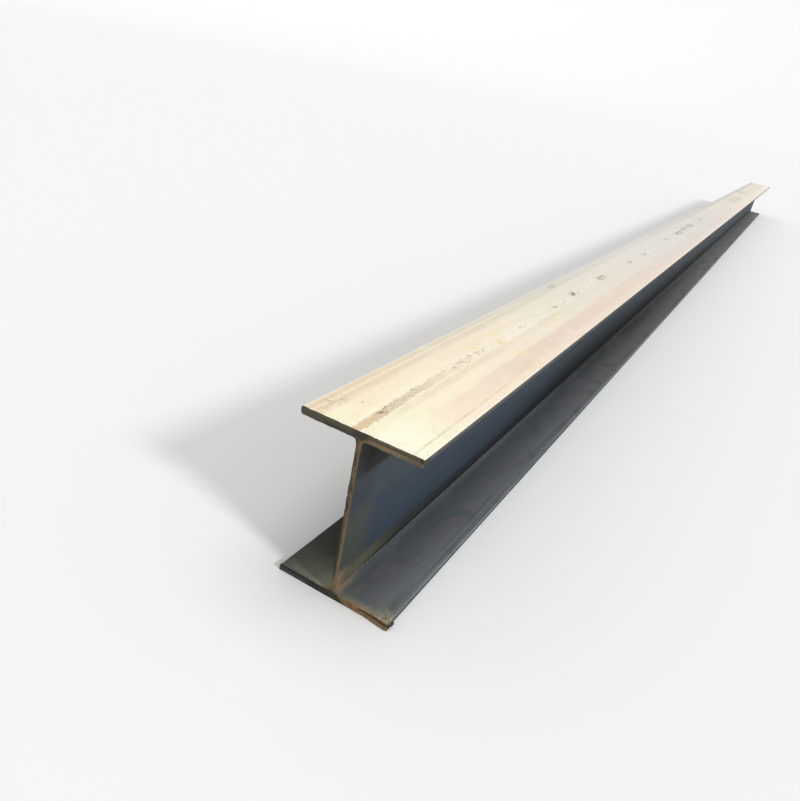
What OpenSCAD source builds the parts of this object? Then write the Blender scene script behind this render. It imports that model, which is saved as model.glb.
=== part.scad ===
// Hot-rolled steel H-beam: one straight length of mill stock.
// Units are millimetres, and +Z is up. The beam lies along Y with its web upright.
// The origin is midway along the beam and across it, on the plane of its underside.

/* [Overall size] */

// Length of the beam, between its cut ends
length = 12000; // [6000:500:15000]

// Depth of the section, from underside to top
depth = 440; // [360:5:600]

// Width of both flanges
flange_width = 300; // [200:5:400]

/* [Plate thicknesses] */

// Thickness of the web
web_thickness = 11; // [8:0.5:20]

// Thickness of each flange
flange_thickness = 18; // [14:0.5:30]

/* [Rolled corners] */

// Radius of the fillets where the web meets the flanges
root_radius = 13; // [8:0.5:26]

// Radius of each toe's corner on the flange's outer face
outer_toe_radius = 2.5; // [1:0.5:5]

// Radius of each toe's corner on the flange's inner face
inner_toe_radius = 6; // [2:0.5:8]

/* [Hidden] */

// How far a cut runs past the face that it opens
clearance = 1;

half_flange = flange_width / 2;
half_depth = depth / 2;
half_web = web_thickness / 2;
inner_face = half_depth - flange_thickness;

mill_scale_grey = [0.36, 0.38, 0.41];

$fn = 96;

// The waste outside a rounded corner that points to +X +Y, drawn from the arc's centre.
module corner_waste(radius) {
    difference() {
        square(radius + clearance);
        circle(radius);
    }
}

// The metal that fills a root, drawn from the corner out towards +X +Y.
module root_fillet(radius) {
    difference() {
        square(radius);
        translate([radius, radius])
            circle(radius);
    }
}

// The upper right quarter of the section, from the web's centre out to the toe.
module quarter_section() {
    difference() {
        translate([0, inner_face])
            square([half_flange, flange_thickness]);
        translate([half_flange - outer_toe_radius, half_depth - outer_toe_radius])
            corner_waste(outer_toe_radius);
        translate([half_flange - inner_toe_radius, inner_face + inner_toe_radius])
            mirror([0, 1])
                corner_waste(inner_toe_radius);
    }
    square([half_web, half_depth]);
    translate([half_web, inner_face])
        mirror([0, 1])
            root_fillet(root_radius);
}

// The whole H, centred on its web's middle.
module h_section() {
    for (side = [0, 1], end = [0, 1])
        mirror([side, 0])
            mirror([0, end])
                quarter_section();
}

// The rolled section drawn out to the beam's length.
module h_beam() {
    color(mill_scale_grey)
        translate([0, 0, half_depth])
            rotate([90, 0, 0])
                linear_extrude(height = length, center = true)
                    h_section();
}

h_beam();
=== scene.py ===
"""Visual model of a hot-rolled steel H-beam: its rolled skin, its cut ends, the studio and the camera."""

import logging
import math
from collections.abc import Sequence
from dataclasses import dataclass, field
from enum import Enum

import bpy
import numpy as np
from mathutils import Matrix, Vector, noise
from mathutils.geometry import delaunay_2d_cdt

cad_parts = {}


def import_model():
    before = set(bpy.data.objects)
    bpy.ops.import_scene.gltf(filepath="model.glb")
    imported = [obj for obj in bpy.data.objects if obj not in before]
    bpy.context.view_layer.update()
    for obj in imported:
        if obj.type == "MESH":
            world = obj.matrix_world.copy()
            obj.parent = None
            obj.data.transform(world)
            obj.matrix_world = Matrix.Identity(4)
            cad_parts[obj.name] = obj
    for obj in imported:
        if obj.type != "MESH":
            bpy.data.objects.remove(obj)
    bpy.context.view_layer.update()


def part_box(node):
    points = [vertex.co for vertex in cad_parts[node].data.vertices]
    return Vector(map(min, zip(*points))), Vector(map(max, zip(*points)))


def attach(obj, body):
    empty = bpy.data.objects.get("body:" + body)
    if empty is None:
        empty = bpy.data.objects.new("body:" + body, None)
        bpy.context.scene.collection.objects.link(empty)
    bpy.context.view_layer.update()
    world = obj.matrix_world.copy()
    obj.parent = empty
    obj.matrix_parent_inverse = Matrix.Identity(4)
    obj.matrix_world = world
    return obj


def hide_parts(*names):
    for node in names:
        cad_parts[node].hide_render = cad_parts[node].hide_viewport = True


LOG = logging.getLogger("h_beam")
MM = 0.001
Socket = bpy.types.NodeSocket
Number = float | Socket
Colour = tuple[float, float, float]
Layer = str | Colour | Socket
Point = tuple[float, float]
Stops = tuple[tuple[float, Colour], ...]


def tone(code: str) -> Colour:
    """A linear colour from a six-digit display colour.

    Args:
        code: Red, green and blue as two hexadecimal digits each.

    Returns:
        The linear red, green and blue.
    """
    parts = [int(code[i : i + 2], 16) / 255 for i in (0, 2, 4)]
    red, green, blue = (p / 12.92 if p <= 0.04045 else ((p + 0.055) / 1.055) ** 2.4 for p in parts)
    return (red, green, blue)


class Skin(Enum):
    """The stretches of the rolled outline."""

    CROWN = "crown"
    TOE = "toe"
    CEILING = "ceiling"
    ROOT = "root"
    WEB = "web"
    LEDGE = "ledge"
    SOLE = "sole"


class Slot(Enum):
    """The material slots of the beam's mesh."""

    CROWN = 0
    SCALE = 1
    CUT = 2


@dataclass
class Outline:
    """The rolled section's outline, as one closed loop.

    Args:
        points: One row per point, with x and z in metres.
        skins: The stretch that each point lies on.
    """

    points: np.ndarray
    skins: list[Skin]


@dataclass
class RolledSection:
    """The H section, with its sizes in metres.

    Args:
        depth: Its height.
        width: The flanges' width.
        web: The web's thickness.
        flange: The flanges' thickness.
        root: The root fillets' radius.
        outer_toe: The radius of the toes' outer edges.
        inner_toe: The radius of the toes' inner edges.
        crown_steps: How many parts half a flange's outer face has. The other steps are for their own parts.
    """

    depth: float
    width: float
    web: float = 11 * MM
    flange: float = 18 * MM
    root: float = 13 * MM
    outer_toe: float = 2.5 * MM
    inner_toe: float = 6 * MM
    crown_steps: int = 24
    outer_steps: int = 3
    toe_steps: int = 3
    inner_steps: int = 4
    ledge_steps: int = 18
    root_steps: int = 6
    web_steps: int = 36

    @staticmethod
    def arc(centre: Point, radius: float, start: float, end: float, steps: int) -> list[Point]:
        """Points along an arc, without its first one.

        Args:
            centre: The arc's centre, x and z.
            radius: The arc's radius.
            start: The first angle, in degrees.
            end: The last angle, in degrees.
            steps: How many points to return.

        Returns:
            The points, as x and z pairs.
        """
        angles = [math.radians(start + (end - start) * (i + 1) / steps) for i in range(steps)]
        return [(centre[0] + radius * math.cos(a), centre[1] + radius * math.sin(a)) for a in angles]

    @staticmethod
    def line(start: Point, end: Point, steps: int) -> list[Point]:
        """Points along a straight line, without its first one.

        Args:
            start: The first point, x and z.
            end: The last point, x and z.
            steps: How many points to return.

        Returns:
            The points, as x and z pairs.
        """
        shares = [(i + 1) / steps for i in range(steps)]
        return [(start[0] + (end[0] - start[0]) * t, start[1] + (end[1] - start[1]) * t) for t in shares]

    def upper_right(self) -> list[tuple[Point, Skin]]:
        """The outline from the top's middle, round the right toe, to the web's middle.

        Returns:
            Each point with its skin, heights measured from the section's middle.
        """
        top, half, web = self.depth / 2, self.width / 2, self.web / 2
        inner = top - self.flange
        outer_x, outer_z = half - self.outer_toe, top - self.outer_toe
        inner_x, inner_z = half - self.inner_toe, inner + self.inner_toe
        root_x, root_z = web + self.root, inner - self.root
        legs = [
            (Skin.CROWN, self.line((0, top), (outer_x, top), self.crown_steps)),
            (Skin.TOE, self.arc((outer_x, outer_z), self.outer_toe, 90, 0, self.outer_steps)),
            (Skin.TOE, self.line((half, outer_z), (half, inner_z), self.toe_steps)),
            (Skin.TOE, self.arc((inner_x, inner_z), self.inner_toe, 0, -90, self.inner_steps)),
            (Skin.CEILING, self.line((inner_x, inner), (root_x, inner), self.ledge_steps)),
            (Skin.ROOT, self.arc((root_x, root_z), self.root, 90, 180, self.root_steps)),
            (Skin.WEB, self.line((web, root_z), (web, 0), self.web_steps // 2)),
        ]
        return [((0.0, top), Skin.CROWN)] + [(p, skin) for skin, leg in legs for p in leg]

    def outline(self) -> Outline:
        """The whole section's outline, clockwise from the top's middle.

        Returns:
            The closed loop, with heights measured from the underside.
        """
        swap = {Skin.CROWN: Skin.SOLE, Skin.CEILING: Skin.LEDGE}
        quarter = self.upper_right()
        below = [((x, -z), swap.get(skin, skin)) for (x, z), skin in reversed(quarter[:-1])]
        right = quarter + below
        left = [((-x, z), skin) for (x, z), skin in reversed(right[1:-1])]
        loop = right + left
        points = np.array([(x, z + self.depth / 2) for (x, z), _ in loop])
        return Outline(points, [skin for _, skin in loop])


@dataclass(frozen=True)
class Lump:
    """A swelling or a worn place at a corner of the near end, in millimetres.

    Args:
        middle: Its middle, from the corner.
        reach: How far it goes along each axis.
        push: How far its middle is moved along each axis.
        grit: How rough the moved skin is.
    """

    middle: tuple[float, float, float]
    reach: tuple[float, float, float]
    push: tuple[float, float, float]
    grit: float = 0.9


@dataclass
class BeamBody:
    """The beam's one solid: the rolled length, with its two cut ends.

    Args:
        section: The section that is drawn out.
        start: Where the near end lies along the length.
        end: Where the far end lies along the length.
        lip: How far the melted lip of a cut stands proud.
        lip_length: How far it reaches from the cut.
        kerf_depth: How deep the cut's own waves are.
        kerf_reach: How far from the cut the skin follows them.
        wave_depth: How deep the rolled skin's waves are.
        dent_depth: How deep the knocks in the toes are.
        dent_band: How far in from the toes they reach.
        dent_fade: How far from the ends they fade.
        cap_spacing: The distance between points on a cut.
        cap_inset: How far from its edge they start.
        cap_shake: How far they are shaken.
        crease_angle: The angle, in degrees, from which an edge stays sharp.
        seed: The shaking's seed.
        steps: Step lengths from the near end, each with its count.
        far_fine: How far from the far end the steps are short again.
        far_gap: How far before that the near end's steps stop at the latest.
        slag_lumps: The slag at the lower right corner.
        chip: The chip at the upper right corner.
        slots: The materials, in the order of their slots.
    """

    section: RolledSection
    start: float
    end: float
    lip: float = 1.2 * MM
    lip_length: float = 4 * MM
    kerf_depth: float = 1.1 * MM
    kerf_reach: float = 2 * MM
    wave_depth: float = 0.35 * MM
    dent_depth: float = 2.2 * MM
    dent_band: float = 8 * MM
    dent_fade: float = 30 * MM
    cap_spacing: float = 3.2 * MM
    cap_inset: float = 2 * MM
    cap_shake: float = 0.6 * MM
    crease_angle: float = 38.0
    seed: int = 11
    steps: tuple[tuple[float, int], ...] = (
        (0.001, 2), (0.002, 14), (0.005, 8), (0.01, 24), (0.025, 28), (0.05, 30), (0.1, 66)
    )
    far_fine: float = 0.9
    far_gap: float = 0.05
    slag_lumps: tuple[Lump, ...] = (
        Lump((0.0, 12.0, 8.1), (12.0, 19.0, 24.0), (7.2, 0.0, 1.0)),
        Lump((-4.0, 0.0, 12.6), (24.0, 8.0, 18.0), (-0.5, -2.6, 1.0)),
        Lump((0.0, -1.0, 0.0), (14.0, 8.0, 15.0), (-5.5, 0.0, 0.0)),
        Lump((-4.0, 0.0, 0.0), (60.0, 8.0, 20.0), (0.0, -6.5, 0.0), 0.15),
    )
    chip: Lump = Lump((0.0, 0.0, 0.0), (9.0, 10.0, 7.0), (-2.0, 1.5, -1.6))
    slots: list[bpy.types.Material] = field(default_factory=list)

    def stations(self) -> list[float]:
        """Distances from the near end at which the outline is repeated.

        Returns:
            Rising distances, close together near both ends.
        """
        near = [0.0]
        for step, count in self.steps:
            near += [near[-1] + step * (i + 1) for i in range(count)]
        length = self.end - self.start
        far = [length - d for d in near if d < self.far_fine]
        near = [d for d in near if d < length - self.far_fine - self.far_gap]
        return sorted({round(d, 6) for d in near + far})

    def sag(self, x: float, along: float, z: float) -> float:
        """How far the rolled surface lies below its nominal place.

        Args:
            x: Across the beam.
            along: Distance from the near end.
            z: Height.

        Returns:
            The distance inwards, never negative.
        """
        slow = noise.noise(Vector((x * 4, along * 1.7, z * 4)))
        quick = noise.noise(Vector((x * 22 + 5, along * 6.5, z * 22)))
        return self.wave_depth * max(0.0, 0.4 + 0.35 * slow + 0.25 * quick)

    def dent(self, x: float, along: float, z: float) -> float:
        """How deep the knocks in the flanges' toes are.

        Args:
            x: Across the beam.
            along: Distance from the near end.
            z: Height.

        Returns:
            The distance inwards, mostly zero.
        """
        if abs(x) < self.section.width / 2 - self.dent_band:
            return 0.0
        side = 7.0 if x > 0 else 23.0
        level = 0.0 if z > self.section.depth / 2 else 11.0
        hit = noise.noise(Vector((side, along * 9.0, level)))
        edge = noise.noise(Vector((side + z * 90, along * 38.0, level)))
        return self.dent_depth * max(0.0, hit + 0.25 * edge - 0.42)

    def kerf(self, x: float, z: float, side: int) -> float:
        """How far the cut lies inside the end's plane.

        Args:
            x: Across the beam.
            z: Height.
            side: 0 at the near end and 1 at the far one.

        Returns:
            The distance inwards, never negative.
        """
        shift = 31.0 * side
        slow = noise.noise(Vector((x * 14 + shift, 0.3, z * 14)))
        quick = noise.noise(Vector((x * 90 + shift, 1.7, z * 90)))
        return self.kerf_depth * max(0.0, 0.45 + 0.45 * slow + 0.4 * quick)

    def slag(self, x: float, along: float, z: float) -> float:
        """How far the melted lip of a cut stands proud of the rolled surface.

        Args:
            x: Across the beam.
            along: Distance from the cut.
            z: Height.

        Returns:
            The distance outwards.
        """
        ragged = noise.noise(Vector((x * 75, along * 30, z * 75)))
        fine = noise.noise(Vector((x * 260, 4.0, z * 260)))
        fade = max(0.0, 1 - along / (self.lip_length * (1.2 + 0.8 * ragged)))
        return self.lip * fade * max(0.1, 0.75 + 0.9 * ragged + 0.4 * fine)

    @staticmethod
    def inward(points: np.ndarray) -> np.ndarray:
        """Unit vectors that point into the metal.

        Args:
            points: The outline's points.

        Returns:
            One vector for each point.
        """
        run = np.roll(points, -1, 0) - np.roll(points, 1, 0)
        run /= np.linalg.norm(run, axis=1, keepdims=True)
        return np.stack([run[:, 1], -run[:, 0]], 1)

    def tube(self, outline: Outline) -> tuple[np.ndarray, np.ndarray]:
        """The rolled surface's points and faces.

        Args:
            outline: The loop that is repeated along the length.

        Returns:
            The points, and the faces as rows of four indices.
        """
        rings = self.stations()
        loop = outline.points
        facing = self.inward(loop)
        count = len(loop)
        out = np.empty((len(rings), count, 3))
        length, melted = self.end - self.start, 3 * self.lip_length
        for i, along in enumerate(rings):
            gap = min(along, length - along)
            side = 0 if along < length / 2 else 1
            pull = (1 - 2 * side) * max(0.0, 1 - gap / self.kerf_reach)
            for j in range(count):
                x, z = loop[j]
                depth = self.sag(x, along, z) + self.dent(x, along, z) * min(1.0, gap / self.dent_fade)
                if gap < melted:
                    depth = depth * gap / melted - self.slag(x, gap, z + side)
                px, pz = loop[j] + facing[j] * depth
                out[i, j] = (px, self.start + along + pull * self.kerf(x, z, side), max(0.0, pz))
        first = np.arange(len(rings) - 1)[:, None] * count
        here = np.arange(count)[None, :]
        there = (here + 1) % count
        faces = np.stack([first + here, first + there, first + count + there, first + count + here], -1)
        return out.reshape(-1, 3), faces.reshape(-1, 4)

    def cap(self, ring: np.ndarray, side: int) -> tuple[np.ndarray, list[list[int]]]:
        """A cut end's inner points and its faces.

        Args:
            ring: The end ring's points.
            side: 0 at the near end and 1 at the far one.

        Returns:
            The points inside the ring, and faces that index the ring first and then them.
        """
        rng = np.random.default_rng(self.seed + side)
        flat = [Vector((p[0], p[2])) for p in ring]
        half, web = self.section.width / 2, self.section.web / 2
        depth, flange, inset = self.section.depth, self.section.flange, self.cap_inset
        patches = [
            (inset - half, half - inset, depth - flange + inset, depth - inset),
            (inset - half, half - inset, inset, flange - inset),
            (inset - web, web - inset, flange, depth - flange),
        ]
        inside = []
        for x0, x1, z0, z1 in patches:
            columns = max(2, round((x1 - x0) / self.cap_spacing) + 1)
            rows = max(2, round((z1 - z0) / self.cap_spacing) + 1)
            for x in np.linspace(x0, x1, columns):
                for z in np.linspace(z0, z1, rows):
                    shake = rng.uniform(-1, 1, 2) * self.cap_shake
                    inside.append(Vector((x + shake[0], z + shake[1])))
        count = len(flat)
        edges = [(i, (i + 1) % count) for i in range(count)]
        points, _, faces, *_ = delaunay_2d_cdt(flat + inside, edges, [], 1, 1e-6)
        y_end = (self.start, self.end)[side]
        extra = [(p.x, y_end + self.kerf(p.x, p.y, side) * (1 - 2 * side), p.y) for p in points[count:]]
        turned = [list(f) if side else list(reversed(f)) for f in faces]
        return np.array(extra), turned

    @staticmethod
    def swell(points: np.ndarray, corner: Sequence[float], lump: Lump) -> None:
        """Swells or wears the skin round one place.

        Args:
            points: All points, which are moved in place.
            corner: The corner that the lump is measured from.
            lump: The lump.
        """
        middle = np.array(corner) + np.array(lump.middle) * MM
        push = np.array(lump.push) * MM
        near = np.linalg.norm((points - middle) / (np.array(lump.reach) * MM), axis=1)
        for i in np.nonzero(near < 1)[0]:
            rough = noise.noise(Vector(points[i] * 190)) + 0.5 * noise.noise(Vector(points[i] * 430))
            points[i] += push * (1 - near[i] ** 2) ** 1.5 * (0.8 + lump.grit * rough)
            points[i, 2] = max(0.0, points[i, 2])

    def wear(self, points: np.ndarray) -> None:
        """Adds the slag at the near end's lower right corner, and the chip at its upper one.

        Args:
            points: All points, which are moved in place.
        """
        half = self.section.width / 2
        for lump in self.slag_lumps:
            self.swell(points, (half, self.start, 0.0), lump)
        self.swell(points, (half, self.start, self.section.depth), self.chip)

    def build(self, name: str) -> bpy.types.Object:
        """Makes the beam's mesh object.

        Args:
            name: The object's name.

        Returns:
            The finished object, linked to the scene.
        """
        outline = self.section.outline()
        tube_points, tube_faces = self.tube(outline)
        count = len(outline.points)
        near_points, near_faces = self.cap(tube_points[:count], 0)
        far_points, far_faces = self.cap(tube_points[-count:], 1)
        last = len(tube_points)
        points = np.vstack([tube_points, near_points, far_points])
        near_index = list(range(count)) + [last + i for i in range(len(near_points))]
        far_index = list(range(last - count, last))
        far_index += [last + len(near_points) + i for i in range(len(far_points))]
        faces = [tuple(f) for f in tube_faces.tolist()]
        faces += [tuple(near_index[i] for i in f) for f in near_faces]
        faces += [tuple(far_index[i] for i in f) for f in far_faces]
        self.wear(points)
        mesh = bpy.data.meshes.new(name)
        mesh.from_pydata(points.tolist(), [], faces)
        mesh.validate()
        crown = np.array([skin is Skin.CROWN for skin in outline.skins])
        lit = crown | np.roll(crown, 1) | np.roll(crown, -1)
        slot = np.full(len(faces), Slot.CUT.value, np.int32)
        column = np.arange(len(tube_faces)) % count
        on_crown = lit[column] & lit[(column + 1) % count]
        slot[: len(tube_faces)] = np.where(on_crown, Slot.CROWN.value, Slot.SCALE.value)
        mesh.polygons.foreach_set("material_index", slot)
        mesh.polygons.foreach_set("use_smooth", np.ones(len(faces), bool))
        for material in self.slots:
            mesh.materials.append(material)
        mesh.set_sharp_from_angle(angle=math.radians(self.crease_angle))
        mesh.update()
        beam = bpy.data.objects.new(name, mesh)
        bpy.context.scene.collection.objects.link(beam)
        return beam


class Blend(Enum):
    """How two colours are mixed."""

    MIX = "MIX"
    MULTIPLY = "MULTIPLY"


class Wiring:
    """Lays out one material's nodes."""

    def __init__(self, name: str) -> None:
        """Starts an empty node material.

        Args:
            name: The material's name.
        """
        self.material = bpy.data.materials.new(name)
        self.material.use_nodes = True
        self.tree = self.material.node_tree
        self.tree.nodes.clear()
        self.place = self.node("ShaderNodeTexCoord").outputs["Object"]
        split = self.node("ShaderNodeSeparateXYZ")
        self.feed(split.inputs[0], self.place)
        self.x, self.y, self.z = split.outputs

    def node(self, kind: str) -> bpy.types.Node:
        """A new node of that kind."""
        return self.tree.nodes.new(kind)

    def feed(self, socket: Socket, value: object) -> None:
        """Links a socket to an output, or sets its own value.

        Args:
            socket: The input.
            value: An output socket, a number or a colour. A text is a six-digit display colour.
        """
        if isinstance(value, str):
            value = tone(value)
        if isinstance(value, bpy.types.NodeSocket):
            self.tree.links.new(value, socket)
        elif isinstance(value, tuple) and len(value) == 3 and socket.type == "RGBA":
            socket.default_value = (*value, 1.0)
        else:
            socket.default_value = value

    def math(self, operation: str, a: Number, b: Number = 0.0) -> Socket:
        """One Math node.

        Args:
            operation: The node's operation.
            a: The first number.
            b: The second number.

        Returns:
            The result.
        """
        n = self.node("ShaderNodeMath")
        n.operation = operation
        self.feed(n.inputs[0], a)
        self.feed(n.inputs[1], b)
        return n.outputs[0]

    def times(self, *values: Number) -> Socket:
        """The product of several numbers.

        Args:
            values: The numbers.

        Returns:
            The result.
        """
        out = values[0]
        for v in values[1:]:
            out = self.math("MULTIPLY", out, v)
        return out

    def plus(self, *values: Number) -> Socket:
        """The sum of several numbers.

        Args:
            values: The numbers.

        Returns:
            The result.
        """
        out = values[0]
        for v in values[1:]:
            out = self.math("ADD", out, v)
        return out

    def most(self, *values: Number) -> Socket:
        """The largest of several numbers.

        Args:
            values: The numbers.

        Returns:
            The result.
        """
        out = values[0]
        for v in values[1:]:
            out = self.math("MAXIMUM", out, v)
        return out

    def less(self, value: Number) -> Socket:
        """1 less a number."""
        return self.math("SUBTRACT", 1.0, value)

    def centred(self, pattern: Socket) -> Socket:
        """A pattern's distance from its middle value."""
        return self.math("SUBTRACT", pattern, 0.5)

    def swing(self, pattern: Socket, reach: Number) -> Socket:
        """A pattern's distance from its middle value, scaled by a reach."""
        return self.times(self.centred(pattern), reach)

    def ease(
        self, value: Number, low: float, high: float, out_low: Number = 0.0, out_high: Number = 1.0
    ) -> Socket:
        """A smooth step from one number to another as a value crosses a range.

        Args:
            value: What is read.
            low: Where the step starts. It may be above high, for a falling step.
            high: Where the step ends.
            out_low: The result before the step.
            out_high: The result after it.

        Returns:
            The stepped number.
        """
        if low > high:
            low, high, out_low, out_high = high, low, out_high, out_low
        n = self.node("ShaderNodeMapRange")
        n.interpolation_type = "SMOOTHSTEP"
        for socket, v in zip(n.inputs[:5], (value, low, high, out_low, out_high), strict=True):
            self.feed(socket, v)
        return n.outputs[0]

    def band(self, value: Number, low: float, high: float, soft: float) -> Socket:
        """1 between two limits, fading over a soft margin outside them.

        Args:
            value: What is read.
            low: The lower limit.
            high: The upper limit.
            soft: How wide the fade is.

        Returns:
            The mask.
        """
        return self.times(self.ease(value, low - soft, low), self.ease(value, high + soft, high))

    def ramp(self, value: Socket, stops: Stops) -> Socket:
        """A colour that changes as a value rises.

        Args:
            value: What is read.
            stops: Rising values, each with its colour.

        Returns:
            The colour.
        """
        first, last = stops[0][0], stops[-1][0]
        share = self.node("ShaderNodeMapRange")
        for socket, v in zip(share.inputs[:3], (value, first, last), strict=True):
            self.feed(socket, v)
        n = self.node("ShaderNodeValToRGB")
        elements = n.color_ramp.elements
        while len(elements) < len(stops):
            elements.new(0.5)
        for element, (at, colour) in zip(elements, stops, strict=True):
            element.position = (at - first) / (last - first)
            element.color = (*colour, 1.0)
        self.feed(n.inputs[0], share.outputs[0])
        return n.outputs[0]

    def vector(self, operation: str, *values: object) -> bpy.types.Node:
        """One Vector Math node.

        Args:
            operation: The node's operation.
            values: What its inputs are fed with, in order.

        Returns:
            The node.
        """
        n = self.node("ShaderNodeVectorMath")
        n.operation = operation
        for i, value in enumerate(values):
            self.feed(n.inputs[i], value)
        return n

    def pattern(self, kind: str, place: Socket, **settings: float) -> bpy.types.Node:
        """One pattern node, at a scale of 1.

        Args:
            kind: The node's kind.
            place: The coordinate that it is read at.
            settings: The values of its other inputs, by name.

        Returns:
            The node.
        """
        n = self.node(kind)
        self.feed(n.inputs["Vector"], place)
        n.inputs["Scale"].default_value = 1.0
        for name, value in settings.items():
            n.inputs[name].default_value = value
        return n

    def scaled(self, factor: Sequence[float], shift: Sequence[float] = (0, 0, 0)) -> Socket:
        """The place on the beam, stretched and shifted.

        Args:
            factor: What each axis is multiplied by.
            shift: What is then added.

        Returns:
            The new coordinate.
        """
        return self.vector("MULTIPLY_ADD", self.place, tuple(factor), tuple(shift)).outputs[0]

    def cloud(
        self,
        factor: Sequence[float],
        detail: float = 3.0,
        rough: float = 0.55,
        warp: float = 0.0,
        shift: float = 0.0,
    ) -> Socket:
        """A noise pattern.

        Args:
            factor: How often it repeats in a metre, along each axis.
            detail: How many finer layers it has.
            rough: How strong the finer layers are.
            warp: How far it is bent.
            shift: An offset that makes a different pattern.

        Returns:
            The pattern, about 0.5 on average.
        """
        place = self.scaled(factor, (shift, shift * 1.3, shift * 0.7))
        n = self.pattern("ShaderNodeTexNoise", place, Detail=detail, Roughness=rough, Distortion=warp)
        return n.outputs[0]

    def cells(self, factor: Sequence[float], shift: float = 0.0) -> Socket:
        """The distance to the middle of the nearest scattered cell.

        Args:
            factor: How often cells repeat in a metre, along each axis.
            shift: An offset that makes a different pattern.

        Returns:
            The distance, in cells.
        """
        place = self.scaled(factor, (shift, shift, shift))
        return self.pattern("ShaderNodeTexVoronoi", place, Randomness=1.0).outputs["Distance"]

    def swirled(self, factor: Sequence[float], reach: Sequence[float]) -> Socket:
        """The place on the beam, swirled so that what is drawn there gets a ragged edge.

        Args:
            factor: How often the swirl repeats in a metre, along each axis.
            reach: How far it moves the place along each axis, from end to end.

        Returns:
            The new coordinate.
        """
        swirl = self.pattern("ShaderNodeTexNoise", self.scaled(factor), Detail=3.0).outputs["Color"]
        back = tuple(-r / 2 for r in reach)
        shift = self.vector("MULTIPLY_ADD", swirl, tuple(reach), back).outputs[0]
        return self.vector("ADD", self.place, shift).outputs[0]

    def spot(self, place: Socket, centre: Sequence[float], half: Sequence[float]) -> Socket:
        """A soft oval.

        Args:
            place: The coordinate that is read.
            centre: The oval's middle.
            half: Its half sizes. A size of 0 leaves that axis out.

        Returns:
            1 at the middle, and 0 outside.
        """
        share = tuple(1 / h if h else 0.0 for h in half)
        shift = tuple(-c * s for c, s in zip(centre, share, strict=True))
        shares = self.vector("MULTIPLY_ADD", place, share, shift).outputs[0]
        far = self.vector("LENGTH", shares).outputs["Value"]
        return self.ease(far, 1.0, 0.25)

    def mix(self, share: Number, a: Layer, b: Layer, blend: Blend = Blend.MIX) -> Socket:
        """Two colours mixed.

        Args:
            share: How much of the second one shows.
            a: The first colour.
            b: The second colour.
            blend: How they are mixed.

        Returns:
            The mixed colour.
        """
        n = self.node("ShaderNodeMix")
        n.data_type = "RGBA"
        n.blend_type = blend.value
        n.clamp_factor = True
        self.feed(n.inputs[0], share)
        self.feed(n.inputs[6], a)
        self.feed(n.inputs[7], b)
        return n.outputs[2]

    def tint(self, level: Socket) -> Socket:
        """A grey, as a colour.

        Args:
            level: How light it is.

        Returns:
            The colour.
        """
        n = self.node("ShaderNodeCombineColor")
        for socket in n.inputs[:3]:
            self.feed(socket, level)
        return n.outputs[0]

    def finish(
        self, colour: Socket, rough: Number, heights: Sequence[tuple[Socket, float]], specular: float
    ) -> bpy.types.Material:
        """Joins everything to the shader.

        Args:
            colour: The surface's colour.
            rough: Its roughness.
            heights: Height patterns, each with its depth in metres.
            specular: How strongly it shines.

        Returns:
            The material.
        """
        shader = self.node("ShaderNodeBsdfPrincipled")
        output = self.node("ShaderNodeOutputMaterial")
        self.feed(shader.inputs["Base Color"], colour)
        self.feed(shader.inputs["Roughness"], rough)
        shader.inputs["Specular IOR Level"].default_value = specular
        normal = None
        for height, depth in heights:
            bump = self.node("ShaderNodeBump")
            bump.inputs["Distance"].default_value = depth
            bump.inputs["Strength"].default_value = 1.0
            self.feed(bump.inputs["Height"], height)
            if normal is not None:
                self.feed(bump.inputs["Normal"], normal)
            normal = bump.outputs[0]
        if normal is not None:
            self.feed(shader.inputs["Normal"], normal)
        self.feed(output.inputs[0], shader.outputs[0])
        return self.material


class Coat:
    """A colour that is built up in layers."""

    def __init__(self, wiring: Wiring, ground: Socket) -> None:
        """Starts from a ground colour.

        Args:
            wiring: The material's wiring.
            ground: The colour under every layer.
        """
        self.wiring = wiring
        self.colour = ground

    def lay(self, layer: Layer, *shares: Number, blend: Blend = Blend.MIX) -> None:
        """Lays one more colour over what is there.

        Args:
            layer: The colour.
            shares: Masks and strengths, which are multiplied.
            blend: How it is mixed in.
        """
        self.colour = self.wiring.mix(self.wiring.times(*shares), self.colour, layer, blend)


@dataclass(frozen=True)
class Smudge:
    """A stain on the crown, in millimetres.

    Args:
        along: Distance of its middle from the near end.
        across: Its middle's place across the beam.
        half_length: Half its length.
        half_width: Half its width.
        strength: How much of it shows.
    """

    along: float
    across: float
    half_length: float
    half_width: float
    strength: float = 1.0


def drift(*stops: tuple[float, str]) -> Stops:
    """Colour stops from distances and display colours."""
    return tuple((at, tone(code)) for at, code in stops)


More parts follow.
